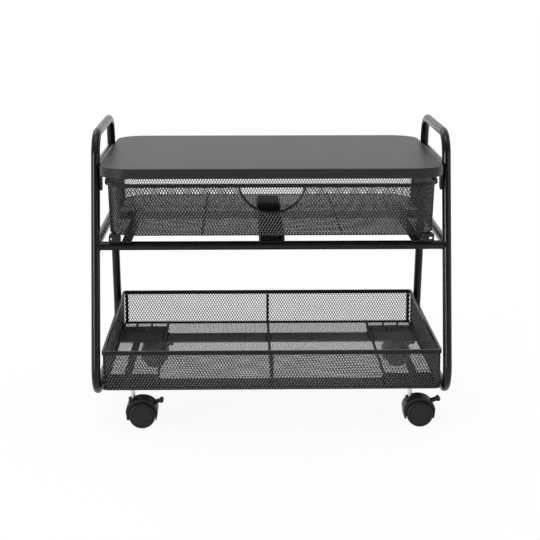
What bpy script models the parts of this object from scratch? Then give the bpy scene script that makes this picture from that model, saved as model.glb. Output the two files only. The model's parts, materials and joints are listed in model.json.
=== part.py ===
"""A rolling under-desk machine stand: tube side frames, a board top, a mesh drawer and a mesh tray.

Metres, +Z up. The front of the stand faces -Y, and the floor is z = 0.
"""

import math

import bmesh
import bpy
from mathutils import Vector

MM = 0.001
GAP = 0.3 * MM  # clearance between pieces that touch
CUT_THROUGH = 40.0 * MM  # a cutter that passes through a wall or a tube

# Casters, from the floor up. They trail towards +X, as the photo shows them.
WHEEL_R = 19.0 * MM
WHEEL_INNER = 3.6 * MM  # inner face, from the caster's middle
WHEEL_WIDTH = 13.9 * MM
WHEEL_EDGE = 2.0 * MM
WHEEL_CAP = 2.5 * MM  # outer wall over the axle's end
WHEEL_STEPS = 28
AXLE_R = 3.0 * MM
CASTER_TRAIL = 13.5 * MM  # from stem axis to axle
HOOD_WALL = 3.75 * MM  # hood's half length over the wheel radius
HOOD_LIFT = 5.0 * MM  # hood's widest level above the axle
HOOD_RISE = 18.0 * MM  # hood's crown above its widest level
HOOD_LAG = 0.65 * MM  # hood's middle, from the axle towards the stem
HOOD_SKIRT = 7.0 * MM  # how far the hood reaches below the axle
HOOD_TIP_IN = 1.6 * MM  # skirt tips, in from the widest level
HOOD_WIDTH = 27.0 * MM
HOOD_STEPS = 20
HOOD_WEB = 6.6 * MM
HOOD_WHEEL_GAP = 0.8 * MM
BOSS_R = 6.5 * MM
BOSS_DROP = 0.6 * MM  # boss top below the hood's crown
BOSS_FLOOR = 5.5 * MM  # boss under the stem's end
STEM_R = 3.0 * MM
STEM_SEAT = 6.0 * MM  # depth of the stem in the boss
STEM_SHOW = 15.1 * MM  # stem between the hood's crown and the beam
LEVER_DEPTH = 2.0 * MM  # lever pivot inside the hood's surface
LEVER_PLACE = math.radians(39)  # where the lever leaves the hood
LEVER_TILT = math.radians(18)  # the arm, up from level
LEVER_TRAVEL = math.radians(15)  # how far the lever presses down
LEVER_BARREL = 1.9 * MM
LEVER_WIDTH = 10.0 * MM
LEVER_NECK = 3.6 * MM
LEVER_ARM = 12.2 * MM  # from the pivot to the middle of the tip
LEVER_TIP_R = 3.2 * MM
LEVER_RUN = 0.8 * MM  # room round the barrel

# Tube frame
TUBE_R = 6.35 * MM
OVERALL_WIDTH = 508.0 * MM
BOARD_DEPTH = 352.0 * MM  # the frame, the drawer and the tray follow it
FOOT_OUT = 1.86 * MM  # axis of the leg's foot, out from the board's edge
HANDLE_SET_IN = 69.56 * MM  # axis at the handle's end, in from the leg's foot
HANDLE_BEND = 36.0 * MM
BASE_BEND = 34.0 * MM
BEND_STEPS = 7
TUBE_RESOLUTION = 6
HANDLE_RISE = 38.45 * MM  # handle axis above the board

# Caster beams and base bars
BEAM_SHEET = 2.5 * MM
BASE_DROP = 5.6 * MM  # axis of the base rail, below the beam's top
CASTER_INSET_X = 49.15 * MM  # from the axis of the base rail
CASTER_INSET_Y = 33.86 * MM  # from the axis of the leg's foot
PLATE_INSET = 35.5 * MM  # plate past the caster, towards the middle
REAR_PLATE_AHEAD = 66.0 * MM
REAR_PLATE_BEHIND = 24.0 * MM
REAR_STRAP = 47.0 * MM
FRONT_PLATE_AHEAD = 15.5 * MM
FRONT_PLATE_BEHIND = 52.0 * MM
FRONT_STRAP = 46.0 * MM
BEAM_CORNER = 8.0 * MM
BAR_OUT = 10.5 * MM  # base bar outside the caster's axis
BAR_WIDTH = 11.5 * MM
BAR_SHEET = 2.1 * MM
BAR_OVERHANG = 8.0 * MM

# Baskets
SHEET = 1.2 * MM  # mesh sheet
MESH_BAR = 7.0 * MM  # between two openings of a mesh sheet, which stand for its many small ones
MESH_ROWS = 2  # openings up a wall
FLOOR_MESH = (9, 6)  # openings across a floor and along it
DRAWER_MESH = (7, 4)  # openings along the straight part of the drawer's front and side walls
FLAT_WALL = 0.995  # a wall's normal lies this close to X or Y, apart from at the corners
RIM_THICK = 3.2 * MM
RIM_STEP = 0.5 * MM  # drawer wall's edge below the rim's top
CORNER_STEPS = 6

# Tray
TRAY_HEIGHT = 56.7 * MM
TRAY_RIM = 6.0 * MM
TRAY_SIDE_GAP = 2.1 * MM
TRAY_SET_IN = 1.0 * MM  # tray rim, in from the board's edge
TRAY_CORNER = 6.0 * MM
TRAY_WALL_IN = 1.0 * MM  # face of the walls, in from the rim's face
TRAY_WIRE_R = 2.0 * MM
TRAY_LOOP_R = 1.6 * MM  # wire round the tray's floor
TRAY_WIRE_IN = 75.2 * MM  # side wires, in from the tray's rim
WIRE_BEND = 5.0 * MM

# Drawer and its supports
TIER_RISE = 143.2 * MM  # mid rail axis above the tray rim
REAR_BAR_IN = 45.8 * MM  # rear cross bar, ahead of the rear legs
RUNNER_WIDTH = 14.0 * MM
RUNNER_SHEET = 2.5 * MM
RUNNER_IN = 18.7 * MM  # runner's outer edge, in from the drawer's floor
RUNNER_OVERHANG = 12.2 * MM  # past the cross bars
SUPPORT_HEIGHT = 12.0 * MM  # room for the slide under the drawer
GLIDE_WIDTH = 16.0 * MM
GLIDE_CLEAR = 2.0 * MM  # glide to runner, sideways
GLIDE_LIFT = 0.3 * MM  # glide above the cross bars
GLIDE_LENGTH = 12.0 * MM
GLIDE_ROUND = 3.0 * MM
GLIDE_EYE = (5.6 * MM, 5.0 * MM)  # width and height of the eye in the glide
GLIDE_EYE_EDGE = 1.6 * MM  # wall outside and under the eye
SLIDE_WIDTH = 36.0 * MM
SLIDE_SHEET = 1.5 * MM
SLIDE_STEP = 2.2 * MM  # fixed channel below the moving one
SLIDE_OVERHANG = 10.2 * MM
SLIDE_REACH = 18.2 * MM
DRAWER_LIFT = 0.35 * MM
DRAWER_HEIGHT = 73.6 * MM
DRAWER_RIM = 5.0 * MM
DRAWER_SET_IN = 8.0 * MM  # drawer rim, in from the board's edge
DRAWER_CORNER = 45.0 * MM
DRAWER_TAPER_W = 2.3 * MM
DRAWER_TAPER_D = 3.0 * MM
DRAWER_BRACKET_GAP = 4.0 * MM
DRAWER_WIRE_R = 1.7 * MM
DRAWER_WIRE_IN = 137.5 * MM  # floor wires, in from the drawer's rim
WIRE_END = 2.0 * MM
PULL_WIDTH = 95.0 * MM
PULL_DEPTH = 38.0 * MM
PULL_WIRE_R = 1.75 * MM
PULL_STEPS = 22

# Board top and its brackets
BOARD_GAP = 8.4 * MM  # board above the drawer rim
BOARD_THICK = 14.0 * MM
BOARD_SIDE_GAP = 1.3 * MM
BOARD_CORNER = 42.0 * MM
BOARD_EDGE = 1.2 * MM
TOP_RAIL_DROP = 9.2 * MM  # top rail axis below the board's top
BRACKET_SHEET = 2.5 * MM
BRACKET_WIDTH = 18.0 * MM
BRACKET_DROP = 24.5 * MM
BRACKET_REACH = 29.0 * MM
BRACKET_ROUND = 8.0 * MM

# Heights, from the floor up
HOOD_HALF = WHEEL_R + HOOD_WALL
HOOD_Z = WHEEL_R + HOOD_LIFT
HOOD_TOP = HOOD_Z + HOOD_RISE
BEAM_Z = HOOD_TOP + STEM_SHOW
BEAM_TOP = BEAM_Z + BEAM_SHEET
BASE_Z = BEAM_TOP - BASE_DROP
BAR_Z = BEAM_TOP + GAP
TRAY_Z = BAR_Z + BAR_SHEET + GAP
TRAY_TOP = TRAY_Z + TRAY_HEIGHT
MID_Z = TRAY_TOP + TIER_RISE
SUPPORT_Z = MID_Z + TUBE_R + GAP
DRAWER_Z = SUPPORT_Z + SUPPORT_HEIGHT + DRAWER_LIFT
DRAWER_TOP = DRAWER_Z + DRAWER_HEIGHT
BOARD_Z = DRAWER_TOP + BOARD_GAP
BOARD_TOP = BOARD_Z + BOARD_THICK
TOP_RAIL_Z = BOARD_TOP - TOP_RAIL_DROP
HANDLE_Z = BOARD_TOP + HANDLE_RISE

# Positions across the stand and along it
FRAME_X = OVERALL_WIDTH / 2 - TUBE_R
LEG_FACE = FRAME_X - TUBE_R
BOARD_HALF = LEG_FACE - BOARD_SIDE_GAP
BRACKET_FACE = LEG_FACE - GAP
DRAWER_HALF = BRACKET_FACE - BRACKET_SHEET - DRAWER_BRACKET_GAP
TRAY_HALF = LEG_FACE - TRAY_SIDE_GAP
TRAY_WIRE_X = TRAY_HALF - TRAY_WIRE_IN
DRAWER_WIRE_X = DRAWER_HALF - DRAWER_WIRE_IN
TRAY_DEPTH = BOARD_DEPTH - 2 * TRAY_SET_IN
DRAWER_DEPTH = BOARD_DEPTH - 2 * DRAWER_SET_IN
BASE_HALF = BOARD_DEPTH / 2 + FOOT_OUT
HANDLE_HALF = BASE_HALF - HANDLE_SET_IN
CASTER_X = FRAME_X - CASTER_INSET_X
CASTER_Y = BASE_HALF - CASTER_INSET_Y
LEAN = math.atan2(BASE_HALF - HANDLE_HALF, HANDLE_Z - BASE_Z)

# Turns that stand a flat outline up: its thickness then lies along Y or X
ALONG_Y = (math.radians(90), 0.0, 0.0)
ALONG_X = (math.radians(90), 0.0, math.radians(90))
FLAT = (0.0, 0.0, 0.0)

BLACK_PAINT = ((0.012, 0.012, 0.013), 0.0, 0.35)
BLACK_BOARD = ((0.055, 0.056, 0.06), 0.0, 0.6)
BLACK_PLASTIC = ((0.014, 0.014, 0.015), 0.0, 0.5)
ZINC = ((0.62, 0.61, 0.58), 1.0, 0.35)

for leftover in list(bpy.data.objects):
    bpy.data.objects.remove(leftover)

stand = bpy.data.collections.new("machine_stand")
cutters = bpy.data.collections.new("cutters")
for collection in (stand, cutters):
    bpy.context.scene.collection.children.link(collection)


def add_group(name, location):
    """An empty that carries the pieces of one moving body."""
    empty = bpy.data.objects.new(name, None)
    empty.location = location
    stand.objects.link(empty)
    return empty


def add_piece(name, data, finish, location=(0.0, 0.0, 0.0), rotation=FLAT, parent=None):
    """Links a shape into the stand under its own Principled material."""
    colour, metallic, roughness = finish
    material = bpy.data.materials.new(name + "_finish")
    material.use_nodes = True
    shader = material.node_tree.nodes["Principled BSDF"]
    shader.inputs["Base Color"].default_value = (*colour, 1.0)
    shader.inputs["Metallic"].default_value = metallic
    shader.inputs["Roughness"].default_value = roughness
    data.name = name
    data.materials.append(material)
    if isinstance(data, bpy.types.Mesh):
        data.shade_smooth()
        data.set_sharp_from_angle(angle=math.radians(35))
    piece = bpy.data.objects.new(name, data)
    piece.location = location
    piece.rotation_euler = rotation
    piece.parent = parent
    stand.objects.link(piece)
    return piece


def curve(paths, cyclic, dimensions):
    data = bpy.data.curves.new("curve", "CURVE")
    data.dimensions = dimensions
    for path in paths:
        spline = data.splines.new("POLY")
        spline.points.add(len(path) - 1)
        for target, point in zip(spline.points, path):
            target.co = (*Vector(point).to_3d(), 1.0)
        spline.use_cyclic_u = cyclic
    return data


def tube(path, radius, resolution, cyclic=False):
    data = curve([path], cyclic, "3D")
    data.bevel_depth = radius
    data.bevel_resolution = resolution
    data.use_fill_caps = True
    return data


def plate(outlines, thickness):
    """A flat outline with any holes, half its thickness to each side."""
    data = curve(outlines, True, "2D")
    data.fill_mode = "BOTH"
    data.extrude = thickness / 2
    return data


def rod(radius, length, segments):
    """A cylinder along Z, centred."""
    bm = bmesh.new()
    bmesh.ops.create_cone(
        bm, cap_ends=True, segments=segments, radius1=radius, radius2=radius, depth=length
    )
    mesh = bpy.data.meshes.new("rod")
    bm.to_mesh(mesh)
    bm.free()
    return mesh


def block(width, depth, height):
    """A box, centred."""
    bm = bmesh.new()
    bmesh.ops.create_cube(bm, size=1.0)
    bmesh.ops.scale(bm, vec=(width, depth, height), verts=bm.verts)
    mesh = bpy.data.meshes.new("block")
    bm.to_mesh(mesh)
    bm.free()
    return mesh


def baked(piece):
    """The evaluated mesh of an object in its own space, with its caps welded."""
    graph = bpy.context.evaluated_depsgraph_get()
    mesh = bpy.data.meshes.new_from_object(piece.evaluated_get(graph))
    bm = bmesh.new()
    bm.from_mesh(mesh)
    bmesh.ops.remove_doubles(bm, verts=bm.verts, dist=1e-6)
    bmesh.ops.recalc_face_normals(bm, faces=bm.faces)
    bm.to_mesh(mesh)
    bm.free()
    return mesh


def meshed(data):
    """Mesh data of a curve."""
    piece = bpy.data.objects.new("curve", data)
    cutters.objects.link(piece)
    mesh = baked(piece)
    bpy.data.objects.remove(piece)
    return mesh


def combine(piece, operation, data, location=(0.0, 0.0, 0.0), rotation=FLAT):
    """Adds an exact Boolean with a helper shape that stays out of the render."""
    if isinstance(data, bpy.types.Curve):
        data = meshed(data)
    helper = bpy.data.objects.new(piece.name + "_" + operation.lower(), data)
    helper.location = location
    helper.rotation_euler = rotation
    helper.hide_render = True
    helper.display_type = "WIRE"
    cutters.objects.link(helper)
    modifier = piece.modifiers.new(operation.lower(), "BOOLEAN")
    modifier.operation = operation
    modifier.solver = "EXACT"
    modifier.object = helper
    return helper


def pattern(data, rotation=FLAT):
    """A hidden object on which a repeated shape is worked out."""
    if isinstance(data, bpy.types.Curve):
        data = meshed(data)
    piece = bpy.data.objects.new("pattern", data)
    piece.rotation_euler = rotation
    piece.hide_render = True
    piece.display_type = "WIRE"
    cutters.objects.link(piece)
    return piece


def finished(piece):
    """Bakes a pattern object and removes it and its helpers."""
    mesh = baked(piece)
    helpers = [modifier.object for modifier in piece.modifiers]
    for used in helpers + [piece]:
        bpy.data.objects.remove(used)
    return mesh


def circle(centre, radius, steps):
    points = []
    for i in range(steps):
        angle = 2 * math.pi * i / steps
        points.append((centre[0] + radius * math.cos(angle), centre[1] + radius * math.sin(angle)))
    return points


def arc(centre, radius, first, last, steps):
    points = []
    for i in range(steps + 1):
        angle = first + (last - first) * i / steps
        points.append((centre[0] + radius * math.cos(angle), centre[1] + radius * math.sin(angle)))
    return points


def rounded(corners, radii, steps):
    """Rounds the corners of a flat polygon. A radius of zero leaves a corner sharp."""
    points = []
    for i, corner in enumerate(corners):
        if radii[i] == 0:
            points.append(tuple(corner))
            continue
        here = Vector(corner)
        back = (Vector(corners[i - 1]) - here).normalized()
        ahead = (Vector(corners[(i + 1) % len(corners)]) - here).normalized()
        half = back.angle(ahead) / 2
        centre = here + (back + ahead).normalized() * radii[i] / math.sin(half)
        start = here + back * radii[i] / math.tan(half) - centre
        end = here + ahead * radii[i] / math.tan(half) - centre
        first = math.atan2(start.y, start.x)
        turn = math.atan2(start.x * end.y - start.y * end.x, start.dot(end))
        points += arc(centre, radii[i], first, first + turn, steps)
    return points


def rounded_box(half_w, half_d, radius, steps=CORNER_STEPS):
    corners = [(half_w, -half_d), (half_w, half_d), (-half_w, half_d), (-half_w, -half_d)]
    return rounded(corners, [radius] * 4, steps)


def leg_half(z):
    """Half depth of the leg axis at this height."""
    return BASE_HALF - (z - BASE_Z) * math.tan(LEAN)


# Side frames and their rails
loop_corners = [
    (-HANDLE_HALF, HANDLE_Z),
    (HANDLE_HALF, HANDLE_Z),
    (BASE_HALF, BASE_Z),
    (-BASE_HALF, BASE_Z),
]
loop_bends = [HANDLE_BEND, HANDLE_BEND, BASE_BEND, BASE_BEND]
loop = rounded(loop_corners, loop_bends, BEND_STEPS)
for side_name, side in (("left", -1), ("right", 1)):
    path = [(0.0, y, z) for y, z in loop]
    frame = tube(path, TUBE_R, TUBE_RESOLUTION, True)
    add_piece(side_name + "_side_frame", frame, BLACK_PAINT, (side * FRAME_X, 0, 0))
    for rail_name, z in (("top", TOP_RAIL_Z), ("mid", MID_Z)):
        half = leg_half(z)
        bar = meshed(tube([(0, -half, 0), (0, half, 0)], TUBE_R, TUBE_RESOLUTION))
        rail = add_piece(side_name + "_" + rail_name + "_rail", bar, BLACK_PAINT, (side * FRAME_X, 0, z))
        for end in (-1, 1):
            leg = rod(TUBE_R + GAP, 2 * CUT_THROUGH, 24)
            combine(rail, "DIFFERENCE", leg, (side * FRAME_X, end * half, z), (end * LEAN, 0, 0))

# Cross bars: the front one between the legs, the rear one between the mid rails
bar_end = LEG_FACE - GAP
front_bar_y = -leg_half(MID_Z)
rear_bar_y = leg_half(MID_Z) - REAR_BAR_IN
for bar_name, y in (("front", front_bar_y), ("rear", rear_bar_y)):
    bar = tube([(-bar_end, 0, 0), (bar_end, 0, 0)], TUBE_R, TUBE_RESOLUTION)
    add_piece(bar_name + "_cross_bar", bar, BLACK_PAINT, (0, y, MID_Z))

# Board top with softened edges
board = plate([rounded_box(BOARD_HALF, BOARD_DEPTH / 2, BOARD_CORNER, 8)], BOARD_THICK)
board = add_piece("board_top", meshed(board), BLACK_BOARD, (0, 0, BOARD_Z + BOARD_THICK / 2))
softened = board.modifiers.new("softened", "BEVEL")
softened.width = BOARD_EDGE
softened.segments = 2
softened.limit_method = "ANGLE"
softened.angle_limit = math.radians(60)

# Angle brackets from each leg to the underside of the board
bracket_top = BOARD_Z - GAP
half = BRACKET_WIDTH / 2
bracket_corners = [(-half, -BRACKET_DROP), (half, -BRACKET_DROP), (half, 0), (-half, 0)]
bracket_outline = rounded(bracket_corners, [BRACKET_ROUND, BRACKET_ROUND, 0, 0], 4)
for side_name, side in (("left", -1), ("right", 1)):
    for end_name, end in (("front", -1), ("rear", 1)):
        y = end * leg_half(bracket_top - BRACKET_DROP / 2)
        upright = meshed(plate([bracket_outline], BRACKET_SHEET))
        x = side * (BRACKET_FACE - BRACKET_SHEET / 2)
        bracket_name = end_name + "_" + side_name + "_board_bracket"
        bracket = add_piece(bracket_name, upright, BLACK_PAINT, (x, y, bracket_top), ALONG_X)
        inner = BRACKET_REACH - BRACKET_SHEET / 2
        flange = block(inner, BRACKET_WIDTH, BRACKET_SHEET)
        x = side * (BRACKET_FACE - BRACKET_SHEET / 2 - inner / 2)
        combine(bracket, "UNION", flange, (x, y, bracket_top - BRACKET_SHEET / 2))


def grille(half_w, half_h, corner, across, up):
    """Outline of a flat sheet, then those of a grid of openings that keep clear of its round corners."""
    outlines = [rounded_box(half_w, half_h, corner)]
    pitch_w = (2 * half_w - MESH_BAR) / across
    pitch_h = (2 * half_h - MESH_BAR) / up
    for column in range(across):
        low_x = MESH_BAR - half_w + column * pitch_w
        high_x = low_x + pitch_w - MESH_BAR
        for row in range(up):
            low_y = MESH_BAR - half_h + row * pitch_h
            high_y = low_y + pitch_h - MESH_BAR
            past_x = max(high_x, -low_x) - (half_w - corner)
            past_y = max(high_y, -low_y) - (half_h - corner)
            if min(past_x, past_y) < 0 or math.hypot(past_x, past_y) < corner - MESH_BAR:
                outlines.append([(low_x, low_y), (high_x, low_y), (high_x, high_y), (low_x, high_y)])
    return outlines


def wall_band(half_w, half_d, height, taper_w, taper_d, corner):
    """Four tapered walls with rounded uprights, standing on z = 0."""
    bm = bmesh.new()
    bmesh.ops.create_cube(bm, size=2.0)
    for vert in bm.verts:
        low = vert.co.z < 0
        vert.co.x *= half_w - taper_w if low else half_w
        vert.co.y *= half_d - taper_d if low else half_d
        vert.co.z = 0.0 if low else height
    uprights = []
    for edge in bm.edges:
        if abs(edge.verts[0].co.z - edge.verts[1].co.z) > height / 2:
            uprights.append(edge)
    bmesh.ops.bevel(
        bm, geom=uprights, offset=corner, segments=CORNER_STEPS, profile=0.5, affect="EDGES"
    )
    caps = []
    for face in bm.faces:
        levels = [vert.co.z for vert in face.verts]
        if max(levels) - min(levels) < height / 2:
            caps.append(face)
    bmesh.ops.delete(bm, geom=caps, context="FACES")
    mesh = bpy.data.meshes.new("band")
    bm.to_mesh(mesh)
    bm.free()
    return mesh


def open_wall(mesh, half_w, half_d, top, is_kept):
    """Cuts a grid of openings in the flat walls of a band below this height, but not in kept faces."""
    bm = bmesh.new()
    bm.from_mesh(mesh)
    cuts = [((0, 0, 1), top * (row + 1) / MESH_ROWS) for row in range(MESH_ROWS)]
    halves = (half_w, half_d)
    for direction, half, count in zip(((1, 0, 0), (0, 1, 0)), halves, DRAWER_MESH):
        cuts += [(direction, half * (2 * i / count - 1)) for i in range(1, count)]
    for direction, place in cuts:
        geom = bm.verts[:] + bm.edges[:] + bm.faces[:]
        bmesh.ops.bisect_plane(bm, geom=geom, plane_co=Vector(direction) * place, plane_no=direction)
    bm.normal_update()
    opened = []
    for face in bm.faces:
        is_flat = max(abs(face.normal.x), abs(face.normal.y)) > FLAT_WALL
        if is_flat and face.calc_center_median().z < top and not is_kept(face):
            opened.append(face)
    bmesh.ops.inset_individual(bm, faces=opened, thickness=MESH_BAR / 2, use_even_offset=True)
    bmesh.ops.delete(bm, geom=opened, context="FACES")
    bm.to_mesh(mesh)
    bm.free()


def solidify(piece):
    wall = piece.modifiers.new("sheet", "SOLIDIFY")
    wall.thickness = SHEET
    wall.offset = -1.0
    wall.use_even_offset = True


def rim(half_w, half_d, corner, height):
    outer = rounded_box(half_w, half_d, corner)
    inner = rounded_box(half_w - RIM_THICK, half_d - RIM_THICK, corner - RIM_THICK)
    return plate([outer, inner], height)


# Drawer: walls with a half-moon opening under the rim, round a floor sheet
drawer = add_group("drawer", (0, 0, DRAWER_Z))
wall_half_w = DRAWER_HALF - RIM_THICK - GAP
wall_half_d = DRAWER_DEPTH / 2 - RIM_THICK - GAP
wall_corner = DRAWER_CORNER - RIM_THICK - GAP
wall_height = DRAWER_HEIGHT - RIM_STEP
rim_low = DRAWER_HEIGHT - DRAWER_RIM
floor_half_w = wall_half_w - DRAWER_TAPER_W
floor_half_d = wall_half_d - DRAWER_TAPER_D
pull_r = ((PULL_WIDTH / 2) ** 2 + PULL_DEPTH**2) / (2 * PULL_DEPTH)
pull_z = rim_low - PULL_DEPTH + pull_r


def near_pull(face):
    """Whether a face of the wall comes close to the half-moon opening."""
    xs = [vert.co.x for vert in face.verts]
    zs = [vert.co.z for vert in face.verts]
    x = min(max(0.0, min(xs)), max(xs))
    z = min(max(pull_z, min(zs)), max(zs))
    return face.calc_center_median().y < 0 and math.hypot(x, z - pull_z) < pull_r + MESH_BAR / 2


band = wall_band(wall_half_w, wall_half_d, wall_height, DRAWER_TAPER_W, DRAWER_TAPER_D, wall_corner)
open_wall(band, wall_half_w - wall_corner, wall_half_d - wall_corner, rim_low, near_pull)
drawer_wall = add_piece("drawer_wall", band, BLACK_PAINT, parent=drawer)
solidify(drawer_wall)
floor_in = SHEET + GAP
openings = grille(
    floor_half_w - floor_in, floor_half_d - floor_in, wall_corner - floor_in, *FLOOR_MESH
)
floor = plate(openings, SHEET)
add_piece("drawer_floor", floor, BLACK_PAINT, (0, 0, SHEET / 2), parent=drawer)


def half_moon(radius, top):
    """The arc of the opening on this radius, from left to right, cut off at this height."""
    dip = math.asin((pull_z - top) / radius)
    return arc((0, pull_z), radius, math.pi + dip, 2 * math.pi - dip, PULL_STEPS)


opening = plate([half_moon(pull_r + GAP, rim_low)], CUT_THROUGH)
combine(drawer_wall, "DIFFERENCE", opening, (0, -wall_half_d, DRAWER_Z), ALONG_Y)

rim_data = rim(DRAWER_HALF, DRAWER_DEPTH / 2, DRAWER_CORNER, DRAWER_RIM)
add_piece("drawer_rim", rim_data, BLACK_PAINT, (0, 0, rim_low + DRAWER_RIM / 2), parent=drawer)

trim_top = rim_low - GAP - PULL_WIRE_R / 2
trim_y = -(wall_half_d - SHEET / 2 - DRAWER_TAPER_D * (1 - rim_low / wall_height))
trim_lean = math.atan2(DRAWER_TAPER_D, wall_height)
trim_path = []
for x, z in half_moon(pull_r - PULL_WIRE_R, trim_top):
    trim_path.append((x, (rim_low - z) * math.tan(trim_lean), z))
trim = tube(trim_path, PULL_WIRE_R, 2)
add_piece("drawer_pull_trim", trim, BLACK_PAINT, (0, trim_y, 0), parent=drawer)

wire_half = floor_half_d - SHEET - WIRE_END
wire_rise = SHEET + GAP + DRAWER_WIRE_R
for side_name, side in (("left", -1), ("right", 1)):
    wire = tube([(0, -wire_half, 0), (0, wire_half, 0)], DRAWER_WIRE_R, 2)
    wire_name = "drawer_" + side_name + "_floor_wire"
    add_piece(wire_name, wire, BLACK_PAINT, (side * DRAWER_WIRE_X, 0, wire_rise), parent=drawer)

# Flat runners on the cross bars, and the guides under the drawer's front corners beside them
runner_out = floor_half_w - RUNNER_IN
runner_front = front_bar_y - RUNNER_OVERHANG
runner_rear = rear_bar_y + RUNNER_OVERHANG
glide_in = runner_out + GLIDE_CLEAR
glide_out = glide_in + GLIDE_WIDTH
glide_low = SUPPORT_Z + GLIDE_LIFT - DRAWER_Z
eye_out = glide_out - GLIDE_EYE_EDGE
eye_low = glide_low + GLIDE_EYE_EDGE
for side_name, side in (("left", -1), ("right", 1)):
    runner = block(RUNNER_WIDTH, runner_rear - runner_front, RUNNER_SHEET)
    place = (
        side * (runner_out - RUNNER_WIDTH / 2),
        (runner_front + runner_rear) / 2,
        SUPPORT_Z + RUNNER_SHEET / 2,
    )
    add_piece(side_name + "_drawer_runner", runner, BLACK_PAINT, place)

    corners = [(glide_in, glide_low), (glide_out, glide_low), (glide_out, -GAP), (glide_in, -GAP)]
    outline = rounded(corners, [0, GLIDE_ROUND, GLIDE_ROUND, 0], 3)
    eye = [
        (eye_out - GLIDE_EYE[0], eye_low),
        (eye_out, eye_low),
        (eye_out, eye_low + GLIDE_EYE[1]),
        (eye_out - GLIDE_EYE[0], eye_low + GLIDE_EYE[1]),
    ]
    section = [[(side * x, z) for x, z in path] for path in (outline, eye)]
    glide = plate(section, GLIDE_LENGTH)
    y = runner_front + GLIDE_LENGTH / 2
    glide_name = "drawer_" + side_name + "_glide"
    add_piece(glide_name, glide, BLACK_PLASTIC, (0, y, 0), ALONG_Y, drawer)

# Flat centre slide: a fixed channel open upwards, and a moving channel open downwards inside it
slide_top = SUPPORT_HEIGHT + DRAWER_LIFT - GAP
slide_half = -front_bar_y


def channel_section(half, low, high, wall):
    """A channel from this wall end to the other: low is its closed side."""
    inner = low + math.copysign(wall, high - low)
    return [
        (-half, low),
        (half, low),
        (half, high),
        (half - wall, high),
        (half - wall, inner),
        (wall - half, inner),
        (wall - half, high),
        (-half, high),
    ]


fixed = channel_section(SLIDE_WIDTH / 2, 0, slide_top - SLIDE_STEP, SLIDE_SHEET)
fixed_channel = plate([fixed], 2 * (slide_half + SLIDE_OVERHANG))
add_piece("slide_fixed_channel", fixed_channel, BLACK_PAINT, (0, 0, SUPPORT_Z), ALONG_Y)
moving_half = SLIDE_WIDTH / 2 - SLIDE_SHEET - GAP
moving = channel_section(moving_half, slide_top, SLIDE_SHEET + GAP, SLIDE_SHEET)
moving_channel = plate([moving], 2 * (slide_half + SLIDE_REACH))
slide_place = (0, 0, SUPPORT_Z - DRAWER_Z)
add_piece("slide_moving_channel", moving_channel, BLACK_PAINT, slide_place, ALONG_Y, drawer)

# Tray: a floor sheet and four wall sheets under a rim
tray_half_w = TRAY_HALF - TRAY_WALL_IN
tray_half_d = TRAY_DEPTH / 2 - TRAY_WALL_IN
inner_half_w = tray_half_w - SHEET - GAP
inner_half_d = tray_half_d - SHEET - GAP
tray_wall = TRAY_HEIGHT - TRAY_RIM - GAP
sheet = plate(grille(inner_half_w, inner_half_d, 0, *FLOOR_MESH), SHEET)
add_piece("tray_floor", sheet, BLACK_PAINT, (0, 0, TRAY_Z + SHEET / 2))
wall_z = TRAY_Z + tray_wall / 2
for wall_name, side in (("left", -1), ("right", 1)):
    sheet = plate(grille(inner_half_d, tray_wall / 2, 0, FLOOR_MESH[1], MESH_ROWS), SHEET)
    place = (side * (tray_half_w - SHEET / 2), 0, wall_z)
    add_piece("tray_" + wall_name + "_wall", sheet, BLACK_PAINT, place, ALONG_X)
for wall_name, end in (("front", -1), ("rear", 1)):
    sheet = plate(grille(inner_half_w, tray_wall / 2, 0, FLOOR_MESH[0], MESH_ROWS), SHEET)
    place = (0, end * (tray_half_d - SHEET / 2), wall_z)
    add_piece("tray_" + wall_name + "_wall", sheet, BLACK_PAINT, place, ALONG_Y)
rim_data = rim(TRAY_HALF, TRAY_DEPTH / 2, TRAY_CORNER, TRAY_RIM)
add_piece("tray_rim", rim_data, BLACK_PAINT, (0, 0, TRAY_TOP - TRAY_RIM / 2))

# Tray wires, welded into one frame: a loop round the floor, two straight wires across it,
# and one in the middle that runs up the front and rear walls
loop_half_w = inner_half_w - TRAY_LOOP_R
loop_half_d = inner_half_d - TRAY_LOOP_R
loop_path = [(x, y, 0) for x, y in rounded_box(loop_half_w, loop_half_d, WIRE_BEND, 3)]
floor_wire = TRAY_Z + SHEET + GAP
tray_loop = meshed(tube(loop_path, TRAY_LOOP_R, 2, True))
tray_wires = add_piece("tray_wire_frame", tray_loop, BLACK_PAINT, (0, 0, floor_wire + TRAY_LOOP_R))
wire_half = inner_half_d - TRAY_WIRE_R
wire_top = tray_wall - SHEET - GAP - TRAY_WIRE_R
hanger = [(-wire_half, wire_top), (-wire_half, 0), (wire_half, 0), (wire_half, wire_top)]
bent = rounded(hanger, [0, WIRE_BEND, WIRE_BEND, 0], 4)
straight = [(-wire_half, 0), (wire_half, 0)]
for x, run in ((-TRAY_WIRE_X, straight), (0, bent), (TRAY_WIRE_X, straight)):
    wire = tube([(0, y, z) for y, z in run], TRAY_WIRE_R, 2)
    combine(tray_wires, "UNION", wire, (x, 0, floor_wire + TRAY_WIRE_R))

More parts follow.
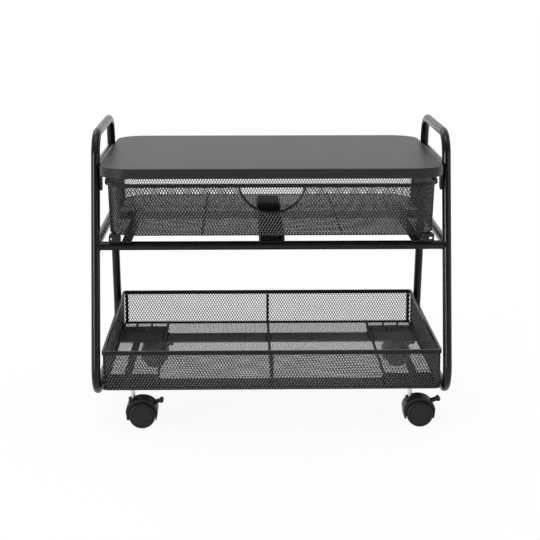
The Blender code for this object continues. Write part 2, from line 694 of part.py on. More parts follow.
# Caster beams between the base rails. Each is a strap with wide ends for the casters.
beam_half = LEG_FACE - GAP
plate_in = CASTER_X - PLATE_INSET
beams = (
    ("front", -CASTER_Y, FRONT_PLATE_AHEAD, FRONT_PLATE_BEHIND, FRONT_STRAP),
    ("rear", CASTER_Y, REAR_PLATE_AHEAD, REAR_PLATE_BEHIND, REAR_STRAP),
)
for beam_name, y, ahead, behind, strap in beams:
    corners = [
        (-beam_half, -ahead),
        (beam_half, -ahead),
        (beam_half, behind),
        (plate_in, behind),
        (plate_in, strap - ahead),
        (-plate_in, strap - ahead),
        (-plate_in, behind),
        (-beam_half, behind),
    ]
    outline = rounded(corners, [BEAM_CORNER] * len(corners), 3)
    holes = [circle((side * CASTER_X, 0), STEM_R + GAP, 16) for side in (-1, 1)]
    beam = plate([outline] + holes, BEAM_SHEET)
    add_piece(beam_name + "_caster_beam", beam, BLACK_PAINT, (0, y, BEAM_Z + BEAM_SHEET / 2))

bar_length = 2 * (CASTER_Y + BAR_OVERHANG)
for side_name, side in (("left", -1), ("right", 1)):
    bar = block(BAR_WIDTH, bar_length, BAR_SHEET)
    place = (side * (CASTER_X + BAR_OUT), 0, BAR_Z + BAR_SHEET / 2)
    add_piece(side_name + "_base_bar", bar, BLACK_PAINT, place)

# Shapes shared by the casters, about the stem axis at floor level
bore_r = AXLE_R + GAP
hood_x = CASTER_TRAIL - HOOD_LAG


def hood_point(angle, depth=0.0):
    """A point this far inside the hood's upper outline."""
    x = hood_x + (HOOD_HALF - depth) * math.cos(angle)
    return x, HOOD_Z + (HOOD_RISE - depth) * math.sin(angle)


tip_half = HOOD_HALF - HOOD_TIP_IN
tip_z = WHEEL_R - HOOD_SKIRT
dome = [(hood_x + tip_half, tip_z)]
for i in range(HOOD_STEPS + 1):
    dome.append(hood_point(math.pi * i / HOOD_STEPS))
dome.append((hood_x - tip_half, tip_z))
hood = pattern(plate([dome], HOOD_WIDTH), ALONG_Y)
boss_top = HOOD_TOP - BOSS_DROP
stem_low = boss_top - STEM_SEAT
boss_low = stem_low - BOSS_FLOOR
boss = rod(BOSS_R, boss_top - boss_low, 20)
combine(hood, "UNION", boss, (0, 0, (boss_top + boss_low) / 2))
for side in (-1, 1):
    room = plate([circle((0, 0), WHEEL_R + HOOD_WHEEL_GAP, 40)], CUT_THROUGH)
    y = side * (HOOD_WEB + CUT_THROUGH) / 2
    combine(hood, "DIFFERENCE", room, (CASTER_TRAIL, y, WHEEL_R), ALONG_Y)
socket_depth = STEM_SEAT + GAP
socket = rod(STEM_R + GAP, 2 * socket_depth, 16)
combine(hood, "DIFFERENCE", socket, (0, 0, boss_top))
combine(hood, "DIFFERENCE", rod(bore_r, 2 * HOOD_WEB, 16), (CASTER_TRAIL, 0, WHEEL_R), ALONG_Y)
pivot = hood_point(LEVER_PLACE, LEVER_DEPTH)
slot_half = LEVER_BARREL + LEVER_RUN
slot_length = slot_half + LEVER_ARM
slot_tilt = LEVER_TILT - LEVER_TRAVEL / 2
slot = block(slot_length, LEVER_WIDTH + 2 * LEVER_RUN, 2 * slot_half)
shift = slot_length / 2 - slot_half
slot_place = (pivot[0] + shift * math.cos(slot_tilt), 0, pivot[1] + shift * math.sin(slot_tilt))
combine(hood, "DIFFERENCE", slot, slot_place, (0, -slot_tilt, 0))
hood_shape = finished(hood)

wheel_outer = WHEEL_INNER + WHEEL_WIDTH
axle_half = wheel_outer - WHEEL_CAP - GAP
wheel_corners = [
    (0, wheel_outer),
    (WHEEL_R, wheel_outer),
    (WHEEL_R, WHEEL_INNER),
    (bore_r, WHEEL_INNER),
    (bore_r, axle_half + GAP),
    (0, axle_half + GAP),
]
wheel_profile = rounded(wheel_corners, [0, WHEEL_EDGE, WHEEL_EDGE, 0, 0, 0], 3)


def wheel_mesh():
    """Half a section of the wheel, for the Screw modifier."""
    mesh = bpy.data.meshes.new("wheel")
    points = [(radius, 0.0, z) for radius, z in wheel_profile]
    mesh.from_pydata(points, [(i, i + 1) for i in range(len(points) - 1)], [])
    return mesh


def turn_round(piece):
    screw = piece.modifiers.new("turned", "SCREW")
    screw.steps = WHEEL_STEPS
    screw.render_steps = WHEEL_STEPS
    screw.use_merge_vertices = True
    screw.merge_threshold = 1e-5


arm = Vector((math.cos(LEVER_TILT), math.sin(LEVER_TILT)))
neck_side = Vector((-arm.y, arm.x)) * LEVER_NECK / 2
bulb = math.pi - math.asin(LEVER_NECK / 2 / LEVER_TIP_R)
tip_arc = arc(arm * LEVER_ARM, LEVER_TIP_R, LEVER_TILT - bulb, LEVER_TILT + bulb, 12)
lever_outline = [-neck_side] + tip_arc + [neck_side]
lever = pattern(rod(LEVER_BARREL, LEVER_WIDTH, 16), ALONG_Y)
combine(lever, "UNION", plate([lever_outline], LEVER_WIDTH - GAP), rotation=ALONG_Y)
lever_shape = finished(lever)

stem_length = BEAM_TOP - stem_low - GAP
corner_signs = (
    ("front_left", -1, -1),
    ("front_right", 1, -1),
    ("rear_left", -1, 1),
    ("rear_right", 1, 1),
)
for corner_name, side, end in corner_signs:
    foot = (side * CASTER_X, end * CASTER_Y, 0)
    swivel = add_group(corner_name + "_caster", foot)
    prefix = corner_name + "_caster_"
    stem = rod(STEM_R, stem_length, 16)
    add_piece(prefix + "stem", stem, ZINC, (foot[0], foot[1], stem_low + stem_length / 2))
    add_piece(prefix + "hood", hood_shape.copy(), BLACK_PLASTIC, rotation=ALONG_Y, parent=swivel)
    hub = (CASTER_TRAIL, 0, WHEEL_R)
    axle = rod(AXLE_R, 2 * axle_half, 14)
    add_piece(prefix + "axle", axle, ZINC, hub, ALONG_Y, swivel)
    for wheel_name, turn in (("near_wheel", 90), ("far_wheel", -90)):
        rotation = (math.radians(turn), 0, 0)
        wheel = add_piece(prefix + wheel_name, wheel_mesh(), BLACK_PLASTIC, hub, rotation, swivel)
        turn_round(wheel)
    hinge = (pivot[0], 0, pivot[1])
    add_piece(prefix + "brake_lever", lever_shape.copy(), BLACK_PLASTIC, hinge, ALONG_Y, swivel)
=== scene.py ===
"""Looks of a rolling under-desk machine stand: mesh, welds, casters, finishes, light and camera.

Metres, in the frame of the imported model. The front of the stand faces -Y, and the floor is z = 0.
"""

import json
import math

import bmesh
import bpy
from mathutils import Matrix, Vector

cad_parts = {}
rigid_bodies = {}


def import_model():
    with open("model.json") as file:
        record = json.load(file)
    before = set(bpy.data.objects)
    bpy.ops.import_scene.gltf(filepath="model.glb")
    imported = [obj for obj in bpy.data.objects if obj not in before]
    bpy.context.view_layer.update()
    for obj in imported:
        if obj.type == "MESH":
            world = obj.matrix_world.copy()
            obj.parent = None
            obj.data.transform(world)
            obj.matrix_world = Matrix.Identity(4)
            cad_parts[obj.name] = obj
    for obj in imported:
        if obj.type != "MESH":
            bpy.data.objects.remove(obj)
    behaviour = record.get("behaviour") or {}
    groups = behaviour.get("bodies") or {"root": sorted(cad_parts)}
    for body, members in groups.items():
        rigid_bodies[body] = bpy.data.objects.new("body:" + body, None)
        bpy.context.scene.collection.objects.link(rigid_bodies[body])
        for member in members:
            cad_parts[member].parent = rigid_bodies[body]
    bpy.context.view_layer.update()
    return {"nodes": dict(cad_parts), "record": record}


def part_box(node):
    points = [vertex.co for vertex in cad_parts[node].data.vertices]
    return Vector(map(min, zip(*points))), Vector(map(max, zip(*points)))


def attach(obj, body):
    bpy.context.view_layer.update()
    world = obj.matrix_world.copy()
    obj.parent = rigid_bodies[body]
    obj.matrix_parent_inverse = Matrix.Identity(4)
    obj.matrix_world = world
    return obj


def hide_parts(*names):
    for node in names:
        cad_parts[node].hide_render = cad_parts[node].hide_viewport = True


for leftover in list(bpy.data.objects):
    bpy.data.objects.remove(leftover)

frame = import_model()

MM = 0.001
CORNERS = ("front_left", "front_right", "rear_left", "rear_right")

# Expanded steel mesh of the drawer and the tray
DRAWER_PITCH = 4.35 * MM  # across a diamond
TRAY_PITCH = 4.2 * MM
STRAND_RISE = 7.2 * MM  # along a diamond
STRAND_WIDTH = 1.13 * MM
WALL_STRAND_THICK = 0.54 * MM
FLOOR_STRAND_THICK = 0.98 * MM
STRAND_STEP = 0.2 * MM  # one run of strands lies this far behind the other
SHEET_INSET = 0.6 * MM  # middle of the mesh, inside the basket's outer face
FOLD_SIZE = 1.6 * MM  # rolled edge between walls and floor
SEAM_IN = 3.5 * MM  # overlap of the tray's mesh, from its rear corner
SEAM_WIDTH = 4.6 * MM
SEAM_THICK = 1.0 * MM
HOOK_PLACES = (192.0 * MM, 216.0 * MM)  # from the middle of the stand
HOOK_WIDTH = 3.4 * MM
HOOK_THICK = 1.2 * MM
HOOK_LAP = 3.0 * MM  # on the beam
ARC_STEPS = 6  # bends of a strand round a corner of the basket
SECTIONS = 8  # of a basket's outline: four sides and four corners
SPAN_STEPS = 32  # tests along a strand for where it is cut
SPAN_HALVINGS = 18  # closer tests at each end of a cut
FLOOR_RAISE = 1.5 * SHEET_INSET  # middle of the floor's mesh above the basket's underside
PULL_EDGE = 1.5 * MM  # edge of the mesh, in from the outer edge of the opening's trim
TOOTH_OUT = 0.55  # ends of a seam's teeth from its middle, as a share of its width
TOOTH_IN = 0.1
DRAWER_CORNER = 41.5 * MM
DRAWER_TAPER = (2.3 * MM, 3.0 * MM)
TRAY_CORNER = 5.0 * MM
TRAY_TAPER = (0.0, 0.0)

# Tube frame
LEG_LEAN = 69.56 / 361.65  # run over rise of a leg
BEAD_R = 0.9 * MM  # weld bead
BEAD_SUNK = 1.2 * MM  # bead's middle below the frame's outer side
BEAD_POINTS = 40
BEAD_RIPPLE = 0.22  # as a share of the bead's radius
RIPPLE_POINTS = 5  # from one ripple to the next
COPE_LAP = 0.2 * MM  # coped end over the cross bar's flat end
COPE_SHARP = 60  # degrees from which an edge stays sharp

# Wheels, screws and eased edges
WHEEL_STEPS = 64
WHEEL_SHARP = 28
SCREW_HEAD_R = 3.4 * MM
SCREW_HEAD_H = 1.9 * MM
SCREW_STEPS = 24
SCREW_SHARP = 30
SCREW_INSETS = (10.5 * MM, 21.5 * MM)  # from the bracket's outer face
SCREW_SEAT = 2.5 * MM  # below the bracket's top
MERGE_REACH = 1e-6
EDGE_SHARE = 0.22  # rounding of an edge, as a share of the piece's least thickness
EDGE_MOST = 0.6 * MM

# Finishes: each colour runs from its darker to its lighter patches
TUBE_BLACK = ((0.004, 0.004, 0.0043), (0.008, 0.008, 0.0085))
MESH_BLACK = ((0.005, 0.005, 0.0053), (0.009, 0.009, 0.0095))
BOARD_GREY = ((0.0098, 0.01, 0.0116), (0.0114, 0.0116, 0.0132))
NYLON_BLACK = ((0.011, 0.011, 0.0114), (0.0175, 0.0175, 0.018))
ZINC_GREY = ((0.55, 0.54, 0.51), (0.7, 0.69, 0.66))
FLOOR_WHITE = ((0.9, 0.9, 0.9), (0.92, 0.92, 0.92))
NOISE_LOW = 0.3  # part of a noise's range that holds most of its pattern
NOISE_HIGH = 0.7

# Photograph's camera
FOCAL_PIXELS = 1336.55
IMAGE_PIXELS = 540
SENSOR = 36.0
CAMERA_PLACE = (-0.040492, -1.980671, 0.660842)
CAMERA_YAW = math.radians(1.1829)
CAMERA_PITCH = math.radians(10.2644)
CAMERA_ROLL = math.radians(-0.0314)
PRINCIPAL_ROW = 200.0

VIEW_REACH = 200.0

# Floor and light
FLOOR_HALF = 30.0
FLOOR_CELLS = 8  # along each side
FLOOR_RING = 0.99  # the floor's edge points lie beyond this share of its half width
FLOOR_LIP = 2.0  # height of the floor's far edges, which hides the horizon
FLOOR_GLOW = 0.93  # share of the floor's own white in what the camera sees of it
LAMP_REACH = 2.0
LAMPS = {  # direction of the light, strength, degrees across
    "top_light": ((0.05, 0.12, -1.0), 0.8, 30),
    "left_softbox": ((0.72, 0.68, -0.15), 2.0, 20),
    "right_softbox": ((-0.8, 0.58, -0.13), 0.35, 24),
    "rear_light": ((0.35, -0.6, -0.72), 0.5, 30),
}
DOME_TOWARD = (0.0, 0.6, 0.5)  # the dome's bright side
DOME_FADE = (-0.6, 0.75)  # from its dimmest to its brightest, as a share of facing that side
DOME_STRENGTH = (0.05, 0.92)


def new_material(name):
    """A node material with its Principled shader and its object-space coordinates."""
    material = bpy.data.materials.new(name)
    material.use_nodes = True
    nodes = material.node_tree.nodes
    shader = nodes["Principled BSDF"]
    place = nodes.new("ShaderNodeTexCoord")
    return material, shader, place.outputs["Object"]


def noise(material, place, scale, detail, roughness=0.5):
    """Height field of a noise whose scale is in bumps per metre."""
    node = material.node_tree.nodes.new("ShaderNodeTexNoise")
    node.inputs["Scale"].default_value = scale
    node.inputs["Detail"].default_value = detail
    node.inputs["Roughness"].default_value = roughness
    material.node_tree.links.new(place, node.inputs["Vector"])
    return node.outputs["Fac"]


def ramp(material, height, colours, socket):
    """Sends a height field to a colour socket, from one colour to another."""
    node = material.node_tree.nodes.new("ShaderNodeValToRGB")
    for element, position, colour in zip(node.color_ramp.elements, (NOISE_LOW, NOISE_HIGH), colours):
        element.position = position
        element.color = (*colour, 1.0)
    material.node_tree.links.new(height, node.inputs["Fac"])
    material.node_tree.links.new(node.outputs["Color"], socket)


def spread(material, height, values, socket):
    """Sends a height field to a number socket, from one value to another."""
    node = material.node_tree.nodes.new("ShaderNodeMapRange")
    node.inputs["From Min"].default_value = NOISE_LOW
    node.inputs["From Max"].default_value = NOISE_HIGH
    node.inputs["To Min"].default_value = values[0]
    node.inputs["To Max"].default_value = values[1]
    material.node_tree.links.new(height, node.inputs["Value"])
    material.node_tree.links.new(node.outputs["Result"], socket)


def bump(material, shader, height, strength, distance):
    """Lets a height field tilt the surface by up to a distance."""
    node = material.node_tree.nodes.new("ShaderNodeBump")
    node.inputs["Strength"].default_value = strength
    node.inputs["Distance"].default_value = distance
    material.node_tree.links.new(height, node.inputs["Height"])
    material.node_tree.links.new(node.outputs["Normal"], shader.inputs["Normal"])


def powder_coat(name, colours, roughness, gloss, peel):
    """Satin black powder coat with a fine orange peel and faint patches of gloss."""
    material, shader, place = new_material(name)
    patches = noise(material, place, scale=42.0, detail=4.0)
    ramp(material, patches, colours, shader.inputs["Base Color"])
    spread(material, patches, roughness, shader.inputs["Roughness"])
    shader.inputs["Specular IOR Level"].default_value = gloss
    bumps = noise(material, place, scale=850.0, detail=2.0)
    bump(material, shader, bumps, strength=peel, distance=0.15 * MM)
    return material


def board_laminate():
    """Dark laminate with a close speckle, a faint long grain and a matt, slightly uneven face."""
    material, shader, place = new_material("stand_board_laminate")
    links = material.node_tree.links
    stretch = material.node_tree.nodes.new("ShaderNodeMapping")
    stretch.inputs["Scale"].default_value = (0.12, 1.0, 1.0)
    links.new(place, stretch.inputs["Vector"])
    grain = noise(material, stretch.outputs["Vector"], scale=260.0, detail=5.0, roughness=0.6)
    ramp(material, grain, BOARD_GREY, shader.inputs["Base Color"])
    patches = noise(material, place, scale=24.0, detail=3.0)
    spread(material, patches, (0.39, 0.41), shader.inputs["Roughness"])
    shader.inputs["Specular IOR Level"].default_value = 0.3
    shader.inputs["Specular Tint"].default_value = (0.97, 0.95, 1.0, 1.0)
    speckle = noise(material, place, scale=1300.0, detail=2.0)
    bump(material, shader, speckle, strength=0.25, distance=0.08 * MM)
    return material


def moulded_plastic():
    """Black moulded nylon with a fine spark-eroded texture."""
    material, shader, place = new_material("stand_caster_nylon")
    patches = noise(material, place, scale=130.0, detail=3.0)
    ramp(material, patches, NYLON_BLACK, shader.inputs["Base Color"])
    spread(material, patches, (0.36, 0.47), shader.inputs["Roughness"])
    shader.inputs["Specular IOR Level"].default_value = 0.2
    sparks = noise(material, place, scale=1700.0, detail=2.0)
    bump(material, shader, sparks, strength=0.3, distance=0.06 * MM)
    return material


def zinc_plate():
    """Bright zinc with fine turning lines round the stem."""
    material, shader, place = new_material("stand_zinc")
    shader.inputs["Metallic"].default_value = 1.0
    stretch = material.node_tree.nodes.new("ShaderNodeMapping")
    stretch.inputs["Scale"].default_value = (0.05, 0.05, 1.0)
    material.node_tree.links.new(place, stretch.inputs["Vector"])
    lines = noise(material, stretch.outputs["Vector"], scale=2600.0, detail=3.0)
    ramp(material, lines, ZINC_GREY, shader.inputs["Base Color"])
    spread(material, lines, (0.24, 0.38), shader.inputs["Roughness"])
    bump(material, shader, lines, strength=0.2, distance=0.05 * MM)
    return material


FINISHES = {
    "black_paint": powder_coat("stand_powder_coat", TUBE_BLACK, (0.22, 0.27), gloss=0.22, peel=0.04),
    "board": board_laminate(),
    "black_plastic": moulded_plastic(),
    "zinc": zinc_plate(),
}
STRAND_FINISH = powder_coat("stand_mesh_coat", MESH_BLACK, (0.18, 0.24), gloss=0.22, peel=0.1)
WIRE_FINISH = powder_coat("stand_wire_coat", MESH_BLACK, (0.58, 0.68), gloss=0.14, peel=0.1)
WIRES = ("tray_wire_frame", "drawer_left_floor_wire", "drawer_right_floor_wire")


def add_piece(name, data, body, slot, material=None):
    """Links a new shape, gives it its finish and makes it move with a body."""
    data.name = name
    data.materials.append(material or FINISHES[slot])
    piece = bpy.data.objects.new(name, data)
    bpy.context.scene.collection.objects.link(piece)
    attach(piece, body)
    return piece


def mesh_from(verts, faces):
    data = bpy.data.meshes.new("mesh")
    data.from_pydata(verts, [], faces)
    data.update()
    return data


def smoothed(data, degrees):
    data.shade_smooth()
    data.set_sharp_from_angle(angle=math.radians(degrees))
    return data


# Mesh baskets. An outline is (half width, half depth, corner radius). Its sections run from the left
# end of the front edge: straight, corner, straight, corner and so on, round to the front again.


def quarter_turned(x, y, turns):
    return ((x, y), (-y, x), (-x, -y), (y, -x))[turns % 4]


def section_length(outline, section):
    half_w, half_d, radius = outline
    if section % 2:
        return radius * math.pi / 2
    return 2 * ((half_w, half_d)[section // 2 % 2] - radius)


def outline_point(outline, section, share):
    """Point and outward direction at a share of the way along a section."""
    half_w, half_d, radius = outline
    turns = section // 2
    along, across = ((half_w, half_d), (half_d, half_w))[turns % 2]
    if section % 2:
        angle = math.radians(-90 + 90 * share)
        out = (math.cos(angle), math.sin(angle))
        point = (along - radius + radius * out[0], -(across - radius) + radius * out[1])
    else:
        out = (0.0, -1.0)
        point = ((2 * share - 1) * (along - radius), -across)
    return Vector(quarter_turned(*point, turns)), Vector(quarter_turned(*out, turns))


class BasketWall:
    """A wall lofted from a bottom outline to a top one, addressed by the way round and the way up."""

    def __init__(self, bottom, top, z_bottom, z_top):
        self.bottom, self.top = bottom, top
        self.z_bottom, self.z_top = z_bottom, z_top
        middle = [(a + b) / 2 for a, b in zip(bottom, top)]
        self.starts = [0.0]
        for section in range(SECTIONS):
            self.starts.append(self.starts[-1] + section_length(middle, section))
        self.round = self.starts[-1]
        self.knots = []
        for section in range(SECTIONS):
            steps = ARC_STEPS if section % 2 else 1
            start, length = self.starts[section], self.starts[section + 1] - self.starts[section]
            self.knots += [start + length * step / steps for step in range(steps)]

    def at(self, way, height):
        """Point on the wall and its outward direction. height runs from 0 to 1."""
        way %= self.round
        section = max(k for k in range(SECTIONS) if self.starts[k] <= way)
        share = (way - self.starts[section]) / (self.starts[section + 1] - self.starts[section])
        low, out = outline_point(self.bottom, section, share)
        high, _ = outline_point(self.top, section, share)
        flat = low.lerp(high, height)
        z = self.z_bottom + (self.z_top - self.z_bottom) * height
        return Vector((*flat, z)), out.to_3d()

    def between(self, start, end):
        """The bends that lie between two ways round, in order, as shares from start to end."""
        low, high = min(start, end), max(start, end)
        turns = range(math.floor(low / self.round), math.floor(high / self.round) + 1)
        ways = [knot + turn * self.round for turn in turns for knot in self.knots]
        shares = [(way - start) / (end - start) for way in ways if low < way < high]
        return sorted(shares)


def add_ribbon(build, centres, ups, width, thick, closed=False):
    """Adds a strip along these points, with a ridge on each face, square to the given directions."""
    verts, faces = build
    first, count = len(verts), len(centres)
    for index, (centre, up) in enumerate(zip(centres, ups)):
        after = centres[(index + 1) % count] if closed or index + 1 < count else centre
        before = centres[index - 1] if closed or index else centre
        side = (after - before).cross(up).normalized() * width / 2
        rise = up * thick / 2
        verts += [centre - side, centre - rise, centre + side, centre + rise]
    for index in range(count if closed else count - 1):
        here, there = first + 4 * index, first + 4 * ((index + 1) % count)
        for edge in range(4):
            turn = (edge + 1) % 4
            faces.append((here + edge, here + turn, there + turn, there + edge))
    if not closed:
        last = first + 4 * (count - 1)
        faces.append((first + 3, first + 2, first + 1, first))
        faces.append((last, last + 1, last + 2, last + 3))


def kept_spans(inside):
    """Shares of a straight run, 0 to 1, that a test keeps, as (start, end) pairs."""

    def edge(kept, lost):
        for _ in range(SPAN_HALVINGS):
            middle = (kept + lost) / 2
            kept, lost = (middle, lost) if inside(middle) else (kept, middle)
        return kept

    spans, start = [], None
    shares = [step / SPAN_STEPS for step in range(SPAN_STEPS + 1)]
    for before, share in zip([None] + shares, shares):
        keep = inside(share)
        if keep and start is None:
            start = share if before is None else edge(share, before)
        if not keep and start is not None:
            spans.append((start, edge(before, share)))
            start = None
    if start is not None:
        spans.append((start, 1.0))
    return spans


def add_wall_strands(build, wall, pitch, is_cut):
    """Both runs of strands up the wall, left out wherever is_cut(point) says so."""
    count = round(wall.round / pitch)
    lean = (wall.z_top - wall.z_bottom) * pitch / STRAND_RISE
    for hand in (-1, 1):
        inset = SHEET_INSET + hand * STRAND_STEP / 2
        for index in range(count):
            start = wall.round * index / count
            end = start + hand * lean

            def at(share):
                return wall.at(start + (end - start) * share, share)

            bends = wall.between(start, end)
            for low, high in kept_spans(lambda share: not is_cut(at(share)[0])):
                shares = [low] + [share for share in bends if low < share < high] + [high]
                points = [at(share) for share in shares]
                centres = [point - out * inset for point, out in points]
                add_ribbon(build, centres, [out for _, out in points], STRAND_WIDTH, WALL_STRAND_THICK)


def in_outline(x, y, outline):
    half_w, half_d, radius = outline
    over_x = max(abs(x) - (half_w - radius), 0.0)
    over_y = max(abs(y) - (half_d - radius), 0.0)
    return math.hypot(over_x, over_y) <= radius


def add_floor_strands(build, outline, z, pitch):
    """Both runs of strands across the floor, ending at its rounded outline."""
    half_w, half_d, _ = outline
    lean = half_d * pitch / STRAND_RISE
    count = math.ceil((half_w + lean) / pitch)
    up = Vector((0.0, 0.0, 1.0))
    for hand in (-1, 1):
        level = z + hand * STRAND_STEP / 2
        for index in range(-count, count + 1):
            middle = index * pitch
            front = Vector((middle - hand * lean, -half_d, level))
            back = Vector((middle + hand * lean, half_d, level))
            for low, high in kept_spans(lambda share: in_outline(*front.lerp(back, share).xy, outline)):
                ends = [front.lerp(back, low), front.lerp(back, high)]
                add_ribbon(build, ends, [up, up], STRAND_WIDTH, FLOOR_STRAND_THICK)


def add_fold(build, wall):
    """Rolled edge that closes the mesh between the walls and the floor."""
    points = [wall.at(knot, 0.0) for knot in wall.knots]
    centres = []
    for point, out in points:
        centre = point - out * FOLD_SIZE / 2
        centre.z += FOLD_SIZE / 2
        centres.append(centre)
    ups = [Vector((0.0, 0.0, 1.0))] * len(centres)
    add_ribbon(build, centres, ups, FOLD_SIZE, FOLD_SIZE, closed=True)


def mesh_basket(name, nodes, body, corner, taper, pitch, is_cut):
    """Open mesh in the place of a basket's gridded sheets."""
    boxes = [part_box(node) for node in nodes]
    low = [min(box[0][axis] for box in boxes) for axis in range(3)]
    high = [max(box[1][axis] for box in boxes) for axis in range(3)]
    half_w, half_d = (high[0] - low[0]) / 2, (high[1] - low[1]) / 2
    top = (half_w, half_d, corner)
    bottom = (half_w - taper[0], half_d - taper[1], corner)
    wall = BasketWall(bottom, top, low[2], high[2])
    build = ([], [])
    add_wall_strands(build, wall, pitch, is_cut)
    add_floor_strands(build, bottom, low[2] + FLOOR_RAISE, pitch)
    add_fold(build, wall)
    piece = add_piece(name, mesh_from(*build), body, "black_paint", STRAND_FINISH)
    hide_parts(*nodes)


def pull_cut():
    """Test for the half-moon opening in the drawer's front, inside its wire trim."""
    low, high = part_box("drawer_pull_trim")
    half, top, bottom = (high[0] - low[0]) / 2, high[2], low[2]
    drop = top - bottom
    radius = (half * half + drop * drop) / (2 * drop)
    middle_z = bottom + radius

    def is_cut(point):
        return point.y < 0 and math.hypot(point.x, point.z - middle_z) < radius - PULL_EDGE

    return is_cut


DRAWER_SHEETS = ("drawer_wall", "drawer_floor")
TRAY_SHEETS = ("tray_floor", "tray_front_wall", "tray_rear_wall", "tray_left_wall", "tray_right_wall")
mesh_basket(
    "drawer_mesh", DRAWER_SHEETS, "drawer", DRAWER_CORNER, DRAWER_TAPER, DRAWER_PITCH, pull_cut()
)
mesh_basket(
    "tray_mesh", TRAY_SHEETS, "frame", TRAY_CORNER, TRAY_TAPER, TRAY_PITCH, lambda point: False
)


def tray_seams():
    """Upright seams near the tray's rear corners, where the mesh overlaps and leaves a toothed edge."""
    low, high = (Vector(point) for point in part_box("tray_rear_wall"))
    out = Vector((0.0, 1.0, 0.0))
    build = ([], [])
    for side in (-1, 1):
        x = side * (high.x - SEAM_IN)
        y = low.y - SEAM_THICK / 2
        ends = [Vector((x, y, low.z)), Vector((x, y, high.z))]
        add_ribbon(build, ends, [out, out], SEAM_WIDTH, SEAM_THICK)
        teeth = round((high.z - low.z) / STRAND_RISE * 2)
        for hand in (-1, 1):
            centres = []
            for tooth in range(teeth + 1):
                swing = hand * SEAM_WIDTH * (TOOTH_OUT if tooth % 2 else TOOTH_IN)
                centres.append(Vector((x + swing, y, low.z + (high.z - low.z) * tooth / teeth)))
            add_ribbon(build, centres, [out] * len(centres), STRAND_WIDTH, SEAM_THICK)
    add_piece("tray_mesh_seams", mesh_from(*build), "frame", "black_paint", STRAND_FINISH)


tray_seams()


def tray_hooks():
    """Small bent hooks from the rear caster beam's edge up to the fold of the tray's rear wall."""
    beam = Vector(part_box("rear_caster_beam")[1])
    low, high = (Vector(point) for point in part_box("tray_floor"))
    up = Vector((0.0, 0.0, 1.0))
    build = ([], [])
    for side in (-1, 1):
        for place in HOOK_PLACES:
            centres = [
                Vector((side * place, beam.y - HOOK_LAP, beam.z + HOOK_THICK / 4)),
                Vector((side * place, beam.y + HOOK_LAP / 2, beam.z + HOOK_THICK / 2)),
                Vector((side * place, high.y, low.z)),
            ]
            add_ribbon(build, centres, [up] * len(centres), HOOK_WIDTH, HOOK_THICK)
    add_piece("tray_rear_hooks", mesh_from(*build), "frame", "black_paint", STRAND_FINISH)


tray_hooks()


# Weld beads and coped tube ends


def box_middle(node):
    low, high = (Vector(corner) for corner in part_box(node))
    return (low + high) / 2


TUBE_R = (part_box("left_mid_rail")[1][2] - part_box("left_mid_rail")[0][2]) / 2
FRAME_X = box_middle("right_side_frame").x
FRONT_BAR = box_middle("front_cross_bar")
REAR_BAR = box_middle("rear_cross_bar")
LEAN_COS = 1 / math.hypot(1.0, LEG_LEAN)
LEAN_SIN = LEG_LEAN * LEAN_COS


def leg_axis_y(z):
    """Distance of a leg's axis from the middle of the stand at a height."""
    return -FRONT_BAR.y + (FRONT_BAR.z - z) * LEG_LEAN


def rail_saddle(z, side, end, angle):
    """Middle of the bead where a rail along Y meets a leg, at an angle from the rail's outer side."""
    x, rise = TUBE_R * math.cos(angle), TUBE_R * math.sin(angle)
    depth = math.sqrt(max(TUBE_R**2 - x**2, 0.0))
    run = (depth + rise * LEAN_SIN) / LEAN_COS
    out = min(x, TUBE_R - BEAD_SUNK)
    return Vector((side * (FRAME_X + out), end * (leg_axis_y(z) - run), z + rise))


def bar_saddle(bar, side, angle):
    """Point where a cross bar along X meets a leg or a mid rail, at an angle round the bar."""
    out, rise = TUBE_R * math.cos(angle), TUBE_R * math.sin(angle)
    offset = rise if bar is REAR_BAR else rise * LEAN_SIN - out * LEAN_COS
    depth = math.sqrt(max(TUBE_R**2 - offset**2, 0.0))
    return Vector((side * (FRAME_X - depth), bar.y + out, bar.z + rise))


def ring_angles():
    return [2 * math.pi * index / BEAD_POINTS for index in range(BEAD_POINTS)]


def weld_beads():
    """Rippled beads where rails and cross bars meet the legs."""
    data = bpy.data.curves.new("beads", "CURVE")
    data.dimensions = "3D"
    data.bevel_depth = BEAD_R
    data.bevel_resolution = 2
    heights = (box_middle("left_top_rail").z, box_middle("left_mid_rail").z)
    loops = []
    for side in (-1, 1):
        for end in (-1, 1):
            loops += [[rail_saddle(z, side, end, angle) for angle in ring_angles()] for z in heights]
        for bar in (FRONT_BAR, REAR_BAR):
            loops.append([bar_saddle(bar, side, angle) for angle in ring_angles()])
    for loop in loops:
        spline = data.splines.new("POLY")
        spline.points.add(len(loop) - 1)
        spline.use_cyclic_u = True
        spline.use_smooth = True
        for index, (target, point) in enumerate(zip(spline.points, loop)):
            target.co = (*point, 1.0)
            target.radius = 1.0 + BEAD_RIPPLE * math.sin(index * 2 * math.pi / RIPPLE_POINTS)
    add_piece("frame_weld_beads", data, "frame", "black_paint")


def cross_bar_copes():
    """Coped ends that carry the flat-ended cross bars onto the legs and the mid rails."""
    verts, faces = [], []
    flat_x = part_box("rear_cross_bar")[1][0] - COPE_LAP
    for side in (-1, 1):
        for bar in (FRONT_BAR, REAR_BAR):
            first = len(verts)
            for angle in ring_angles():
                out, rise = TUBE_R * math.cos(angle), TUBE_R * math.sin(angle)
                verts.append(Vector((side * flat_x, bar.y + out, bar.z + rise)))
                verts.append(bar_saddle(bar, side, angle))
            for index in range(BEAD_POINTS):
                here, there = first + 2 * index, first + 2 * ((index + 1) % BEAD_POINTS)
                face = (here, there, there + 1, here + 1)
                faces.append(face if side > 0 else face[::-1])
    data = smoothed(mesh_from(verts, faces), COPE_SHARP)
    add_piece("cross_bar_copes", data, "frame", "black_paint")


weld_beads()
cross_bar_copes()


